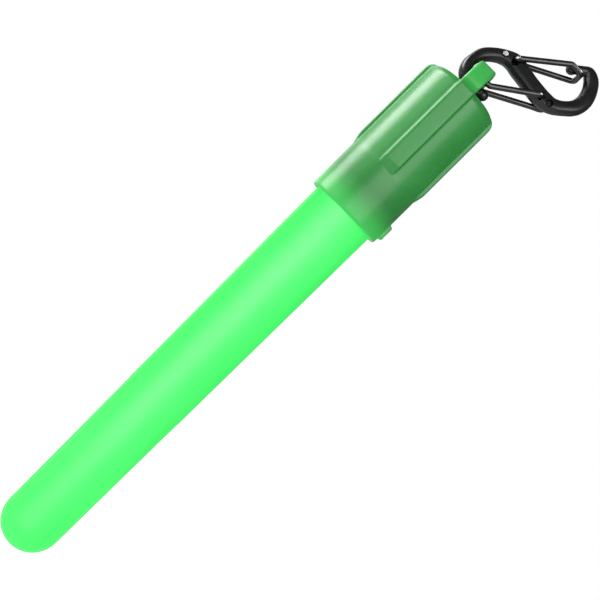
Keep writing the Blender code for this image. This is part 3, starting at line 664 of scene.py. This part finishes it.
def loop_arch(shape, matrix):
    """The carry loop: a rounded bar that arches from the front ridge to the back one."""
    rise = LOOP_TOP - LOOP_SPRING
    outer = []
    base = (0.0, LOOP_SPRING + LOOP_FULLNESS)
    for across, height in ellipse(base, LOOP_HALF_SPAN, rise, *LOOP_ANGLES):
        height -= LOOP_FULLNESS * (height - LOOP_SPRING) / rise
        outer.append(Vector((across, height, 0.0)))
    half_span = LOOP_HALF_SPAN - LOOP_THICKNESS
    inner = ellipse((0.0, LOOP_SPRING), half_span, rise - LOOP_THICKNESS, *LOOP_ANGLES)
    rings = []
    for far, near in zip(outer, inner):
        near = Vector((*near, 0.0))
        through = (far - near).normalized()
        half_depth = (far - near).length / 2
        ring = []
        for depth, width in rounded_section(half_depth, STRAP_HALF_WIDTH, LOOP_EDGE):
            place = (far + near) / 2 + through * depth
            ring.append(shape.verts.new(matrix @ Vector((place.x, place.y, width))))
        rings.append(ring)
    skin(shape, rings)


def ridge_outline():
    """A side ridge with a swept foot and a rounded head."""
    inside = CAVITY_RADIUS + 0.5 * MM
    foot = COLLAR_TOP - 0.1 * MM
    outline = [
        (inside, foot),
        (COLLAR_RADIUS - 0.1 * MM, foot),
        (COLLAR_RADIUS + 0.12 * MM, foot + 0.9 * MM),
        (RIDGE_REACH - 0.08 * MM, foot + 2.2 * MM),
        (RIDGE_REACH, foot + 3.0 * MM),
    ]
    head = (RIDGE_REACH - RIDGE_HEAD, CAP_TOP - RIDGE_HEAD - 0.25 * MM)
    outline += arc(head, RIDGE_HEAD, 0, 80, 14)
    outline.append((inside - 0.9 * MM, CAP_TOP - 1.2 * MM))
    outline.append((inside, CAVITY_CEILING - CEILING_EDGE))
    return outline


def cap():
    """Body, ridges, loop, rim tab and thread fused into one moulding."""
    upright = Matrix.Rotation(math.pi / 2, 4, "X")
    shape = bmesh.new()
    lathe(shape, cap_profile(), CAP_SIDES, STICK)
    for turn in (0.0, math.pi):
        side = STICK @ Matrix.Rotation(turn, 4, "Z") @ upright
        prism(shape, ridge_outline(), RIDGE_HALF_WIDTH, side, RIDGE_EDGE)
    front = STICK @ Matrix.Rotation(math.pi / 2, 4, "Z") @ upright
    back = STICK @ Matrix.Rotation(-math.pi / 2, 4, "Z") @ upright
    for side in (front, back):
        prism(shape, strap_outline(), STRAP_HALF_WIDTH, side, LOOP_EDGE)
    loop_arch(shape, front)
    near, far = TAB_REACH
    low, high = TAB_HEIGHT
    tab = [(near, low), (far, low), (far, high), (near, high)]
    prism(shape, tab, TAB_HALF_WIDTH, STICK @ upright, RIDGE_EDGE)
    thread = thread_path(CAP_MOUTH + 0.02 * MM, 48, phase=math.pi)
    sweep(shape, thread, THREAD_RADIUS, 12, STICK)
    piece = new_piece("cap_moulding", finish_mesh("cap_moulding", shape), "cap")
    modified(piece, "REMESH", mode="VOXEL", voxel_size=CAP_VOXEL, use_smooth_shade=True)
    modified(piece, "SMOOTH", factor=0.5, iterations=6)
    modified(piece, "DECIMATE", ratio=CAP_KEPT)
    piece.data.shade_smooth()
    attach(piece, "cap")
    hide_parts("cap_shell")


# --------------------------------------------------------------------- the clip

def smooth_stations(stations, steps):
    """Catmull-Rom through the stations, so the S has no corners."""
    rows = [Vector(row) for row in stations]
    rows = [2 * rows[0] - rows[1]] + rows + [2 * rows[-1] - rows[-2]]
    result = []
    for p0, p1, p2, p3 in zip(rows, rows[1:], rows[2:], rows[3:]):
        for step in range(steps):
            t = step / steps
            result.append(0.5 * (2 * p1 + (p2 - p0) * t + (2 * p0 - 5 * p1 + 4 * p2 - p3) * t * t
                                 + (3 * p1 - p0 - 3 * p2 + p3) * t ** 3))
    result.append(rows[-2])
    return result


def moulded_section():
    """The whole moulded section as unit points, from its quarter."""
    lower = [(across, -through) for across, through in reversed(MOULDED_QUARTER[:-1])]
    right = MOULDED_QUARTER + lower
    left = [(-across, -through) for across, through in right[1:-1]]
    return right + left


def section(centre, tangent, half_width, half_depth, squareness):
    """One cross-section of the clip, square to its centre line."""
    across = Vector((-tangent[1], tangent[0]))
    ring = []
    for unit_across, unit_through in moulded_section():
        angle = math.atan2(unit_through, unit_across)
        side = math.cos(angle) * (1 - squareness) + unit_across * squareness
        through = math.sin(angle) * (1 - squareness) + unit_through * squareness
        place = centre + across * side * half_width
        ring.append((place[0], place[1], through * half_depth))
    return ring


def ball_sections(neck, outward, facing, radius):
    """Sections of the ball at a free end, from its neck out to its tip."""
    start = math.asin(radius / BALL_RADIUS)
    rings = []
    for step in range(1, BALL_STEPS + 1):
        angle = start + (math.pi - start - BALL_TIP) * step / BALL_STEPS
        reach = BALL_RADIUS * (math.cos(start) - math.cos(angle))
        size = BALL_RADIUS * math.sin(angle)
        rings.append(section(neck + outward * reach, facing, size, size, 0.0))
    return rings


def clip_sections():
    """Every section of the clip, in order from one ball's tip to the other's."""
    rows = [Vector(row) for row in CLIP_STATIONS]
    for end, inner in ((0, 1), (-1, -2)):
        outward = Vector((rows[end] - rows[inner])[:2]).normalized()
        back = math.sqrt(BALL_RADIUS ** 2 - rows[end][2] ** 2)
        rows[end][0] -= outward[0] * back
        rows[end][1] -= outward[1] * back
    rows = smooth_stations(rows, STATION_STEPS)
    rings = []
    for i, row in enumerate(rows):
        before = rows[max(i - 1, 0)]
        after = rows[min(i + 1, len(rows) - 1)]
        facing = Vector((after[0] - before[0], after[1] - before[1])).normalized()
        centre = Vector((row[0], row[1]))
        squareness = min(max(row[4], 0.0), 1.0)
        rings.append(section(centre, facing, row[2], row[3], squareness))
        if i == 0:
            first = ball_sections(centre, -facing, facing, row[2])
        if i == len(rows) - 1:
            last = ball_sections(centre, facing, facing, row[2])
    return first[::-1] + rings + last


def slot_cutter(start, end):
    """A through slot with round ends, as its own object."""
    radius = WIRE_RADIUS + SLOT_GAP
    along = end - start
    if along.length:
        heading = math.degrees(math.atan2(along.y, along.x))
        outline = arc(end, radius, heading - 90, heading + 90, 14)
        outline += arc(start, radius, heading + 90, heading + 270, 14)
    else:
        outline = arc(start, radius, 0, 360, 28)[:-1]
    shape = bmesh.new()
    prism(shape, outline, SLOT_REACH, CLIP @ Matrix.Scale(MM, 4))
    return new_piece("slot_cutter", finish_mesh("slot_cutter", shape), "black")


def clip_body():
    scale = CLIP @ Matrix.Scale(MM, 4)
    shape = bmesh.new()
    rings = []
    for ring in clip_sections():
        rings.append([shape.verts.new(scale @ Vector(point)) for point in ring])
    skin(shape, rings)
    body = new_piece("clip_moulding", finish_mesh("clip_moulding", shape), "black", CLIP_SHARP)
    for gate in (EYE_GATE, HOOK_GATE):
        pivot = Vector(gate["pivot"])
        second = Vector(gate["second"])
        swung = pivot + Matrix.Rotation(math.radians(-GATE_SWING), 2) @ (second - pivot)
        for cutter in (slot_cutter(pivot, pivot), slot_cutter(second, swung)):
            modified(body, "BOOLEAN", operation="DIFFERENCE", solver="EXACT", object=cutter)
            bpy.data.objects.remove(cutter, do_unlink=True)
    body.data.set_sharp_from_angle(angle=math.radians(CLIP_SHARP))
    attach(body, "clip")
    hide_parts("clip_body")


def gate(name, rows, body, node, shown_end):
    """A hairpin of spring wire, with a bright cut end where that end is flush."""
    corners = [
        (*rows["second"], SECOND_END),
        (*rows["second"], WIRE_OFFSET),
        (*rows["bend"], WIRE_OFFSET),
        (*rows["front_corner"], WIRE_OFFSET),
        (*rows["rear_corner"], -WIRE_OFFSET),
        (*rows["rear_bend"], -WIRE_OFFSET),
        (*rows["pivot"], -WIRE_OFFSET),
        (*rows["pivot"], rows["pivot_end"]),
    ]
    shape = bmesh.new()
    path = rounded_path(corners, WIRE_BEND)
    scale = CLIP @ Matrix.Scale(MM, 4)
    ends = sweep(shape, path, WIRE_RADIUS, WIRE_SIDES, scale, WIRE_CHAMFER)
    if shown_end:
        ends[1].material_index = 1
    mesh = finish_mesh(name, shape)
    mesh.materials.append(LOOKS["wire"])
    mesh.materials.append(LOOKS["cut_end"])
    wire = new_piece(name, mesh, sharp=WIRE_SHARP)
    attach(wire, body)
    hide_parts(node)


# --------------------------------------------------------- what is kept as CAD

CAD_LOOKS = {
    "seal_ring": "rubber",
    "battery_carrier": "carrier",
    "button_cell_1": "cell",
    "button_cell_2": "cell",
    "button_cell_3": "cell",
    "contact_spring": "contact",
    "end_contact": "contact",
    "side_strip": "contact",
    "led_board": "board",
    "led_lamp": "epoxy",
    "led_lead_anode": "contact",
    "led_lead_cathode": "contact",
    "lamp_holder": "carrier",
    "driver_chip": "chip",
    "chip_resistor": "chip",
    "centre_contact": "contact",
    "rim_contact": "contact",
}


def dress_cad_nodes():
    for name, look in CAD_LOOKS.items():
        mesh = frame["nodes"][name].data
        mesh.materials.clear()
        mesh.materials.append(LOOKS[look])


# ------------------------------------------------------------------ the studio

FLOOR_RADIUS = 0.45
FLOOR_DROP = 12 * MM       # from the stick's tip to the floor
ROOM_LIGHT = 0.16          # what the white room gives, and what the camera sees of it
ROOM_SEEN = 1.0


def studio_floor():
    """A pale floor that the camera sees as white as the room behind it."""
    shape = bmesh.new()
    bmesh.ops.create_circle(shape, cap_ends=True, segments=96, radius=FLOOR_RADIUS)
    centre = Matrix.Translation((STICK_FOOT.x, STICK_FOOT.y, STICK_FOOT.z - FLOOR_DROP))
    bmesh.ops.transform(shape, matrix=centre, verts=shape.verts)
    mesh = finish_mesh("floor", shape)
    look = Look("pale_floor", Roughness=0.7, Base_Color=(0.86, 0.86, 0.86, 1.0),
                Emission_Color=(1.0, 1.0, 1.0, 1.0))
    look.feed("Emission Strength", look.add("ShaderNodeLightPath").outputs["Is Camera Ray"])
    grain = look.noise(220.0, 4.0)
    look.bump([(grain, 0.05, 0.1 * MM)])
    mesh.materials.append(look.material)
    floor = new_piece("studio_floor", mesh)


def background(light, seen):
    """An even white room: light is what it gives and seen is what the camera sees."""
    world = bpy.data.worlds.new("studio")
    bpy.context.scene.world = world
    world.use_nodes = True
    tree = world.node_tree
    plain = tree.nodes["Background"]
    white = tree.nodes.new("ShaderNodeBackground")
    for node, strength in ((plain, light), (white, seen)):
        node.inputs["Color"].default_value = (1.0, 1.0, 1.0, 1.0)
        node.inputs["Strength"].default_value = strength
    choose = tree.nodes.new("ShaderNodeMixShader")
    path = tree.nodes.new("ShaderNodeLightPath")
    tree.links.new(path.outputs["Is Camera Ray"], choose.inputs["Fac"])
    tree.links.new(plain.outputs["Background"], choose.inputs[1])
    tree.links.new(white.outputs["Background"], choose.inputs[2])
    tree.links.new(choose.outputs["Shader"], tree.nodes["World Output"].inputs["Surface"])


def receivers():
    """The groups of pieces that a light may be kept to."""
    groups = {}
    for name, members, state in (
        ("tube", ("diffuser_tube",), "INCLUDE"),
        ("others", ("diffuser_tube",), "EXCLUDE"),
        ("wires", ("eye_gate_wire", "hook_gate_wire"), "INCLUDE"),
    ):
        groups[name] = bpy.data.collections.new("lit_" + name)
        for place, member in enumerate(members):
            groups[name].objects.link(bpy.data.objects[member])
            groups[name].collection_objects[place].light_linking.link_state = state
    return groups


def softbox(groups, name, azimuth, distance, height, width, tall, power, aim_height, lights):
    """An area light round the stick: azimuth 0 is the front and 90 the right."""
    data = bpy.data.lights.new(name, "AREA")
    data.shape = "RECTANGLE"
    data.size = width
    data.size_y = tall
    data.energy = power
    lamp = bpy.data.objects.new(name, data)
    bpy.context.scene.collection.objects.link(lamp)
    angle = math.radians(azimuth)
    centre = STICK_FOOT + Vector((math.sin(angle) * distance, -math.cos(angle) * distance, height))
    aim = STICK_FOOT + Vector((0.0, 0.0, aim_height))
    lamp.location = centre
    if lights in groups:
        lamp.light_linking.receiver_collection = groups[lights]
    lamp.rotation_mode = "QUATERNION"
    lamp.rotation_quaternion = (aim - centre).to_track_quat("-Z", "Y")


# name, azimuth, distance, height, width, height of the box, watts, height it aims at,
# and what it lights: all, only the tube, the others (all but the tube) or the wires
SOFTBOXES = [
    ("tube_front", -12, 0.60, -0.02, 0.70, 0.26, 10.0, -0.02, "tube"),
    ("cap_front", 24, 0.60, 0.36, 0.75, 0.50, 4.0, 0.34, "all"),
    ("cap_left", -50, 0.60, 0.32, 0.30, 0.40, 0.65, 0.30, "all"),
    ("left_strip", -95, 0.45, 0.28, 0.26, 0.32, 3.3, 0.28, "others"),
    ("right_box", 75, 0.60, 0.12, 0.35, 0.60, 0.10, 0.09, "all"),
    ("back_box", -150, 0.70, 0.25, 0.50, 0.60, 1.4, 0.09, "all"),
    ("wire_spark", -39, 0.42, 0.40, 0.08, 0.08, 3.0, 0.14, "wires"),
    ("bends_low", -50, 0.42, 0.10, 0.28, 0.28, 5.0, 0.14, "wires"),
    ("bends_high", 60, 0.20, 0.54, 0.28, 0.28, 5.0, 0.14, "wires"),
]

CAMERA_DISTANCE = 0.300
CAMERA_AZIMUTH = math.radians(1.3)
CAMERA_ROLL = math.radians(44.76)
CAMERA_AIM = Vector((6.32 * MM, 0.0, 75.4 * MM))   # from the dome's tip


def camera():
    """A near camera at the front, rolled so that the stick lies along the diagonal."""
    data = bpy.data.cameras.new("camera")
    data.lens = 90.0
    data.sensor_width = 36.0
    data.clip_start = 0.01
    data.clip_end = 20.0
    obj = bpy.data.objects.new("camera", data)
    bpy.context.scene.collection.objects.link(obj)
    back = Vector((math.sin(CAMERA_AZIMUTH), -math.cos(CAMERA_AZIMUTH), 0.0))
    level = Vector((math.cos(CAMERA_AZIMUTH), math.sin(CAMERA_AZIMUTH), 0.0))
    up = Vector((0.0, 0.0, 1.0))
    right = level * math.sin(CAMERA_ROLL) + up * math.cos(CAMERA_ROLL)
    top = up * math.sin(CAMERA_ROLL) - level * math.cos(CAMERA_ROLL)
    turn = Matrix((right, top, back)).transposed().to_4x4()
    place = STICK_FOOT + CAMERA_AIM + back * CAMERA_DISTANCE
    obj.matrix_world = Matrix.Translation(place) @ turn
    bpy.context.scene.camera = obj


def build():
    diffuser()
    cap()
    clip_body()
    gate("eye_gate_wire", EYE_GATE, "gate_eye", "clip_gate_eye", True)
    gate("hook_gate_wire", HOOK_GATE, "gate_hook", "clip_gate_hook", False)
    dress_cad_nodes()
    studio_floor()
    background(ROOM_LIGHT, ROOM_SEEN)
    groups = receivers()
    for row in SOFTBOXES:
        softbox(groups, *row)
    camera()
    bpy.context.scene.view_settings.view_transform = "Standard"


build()
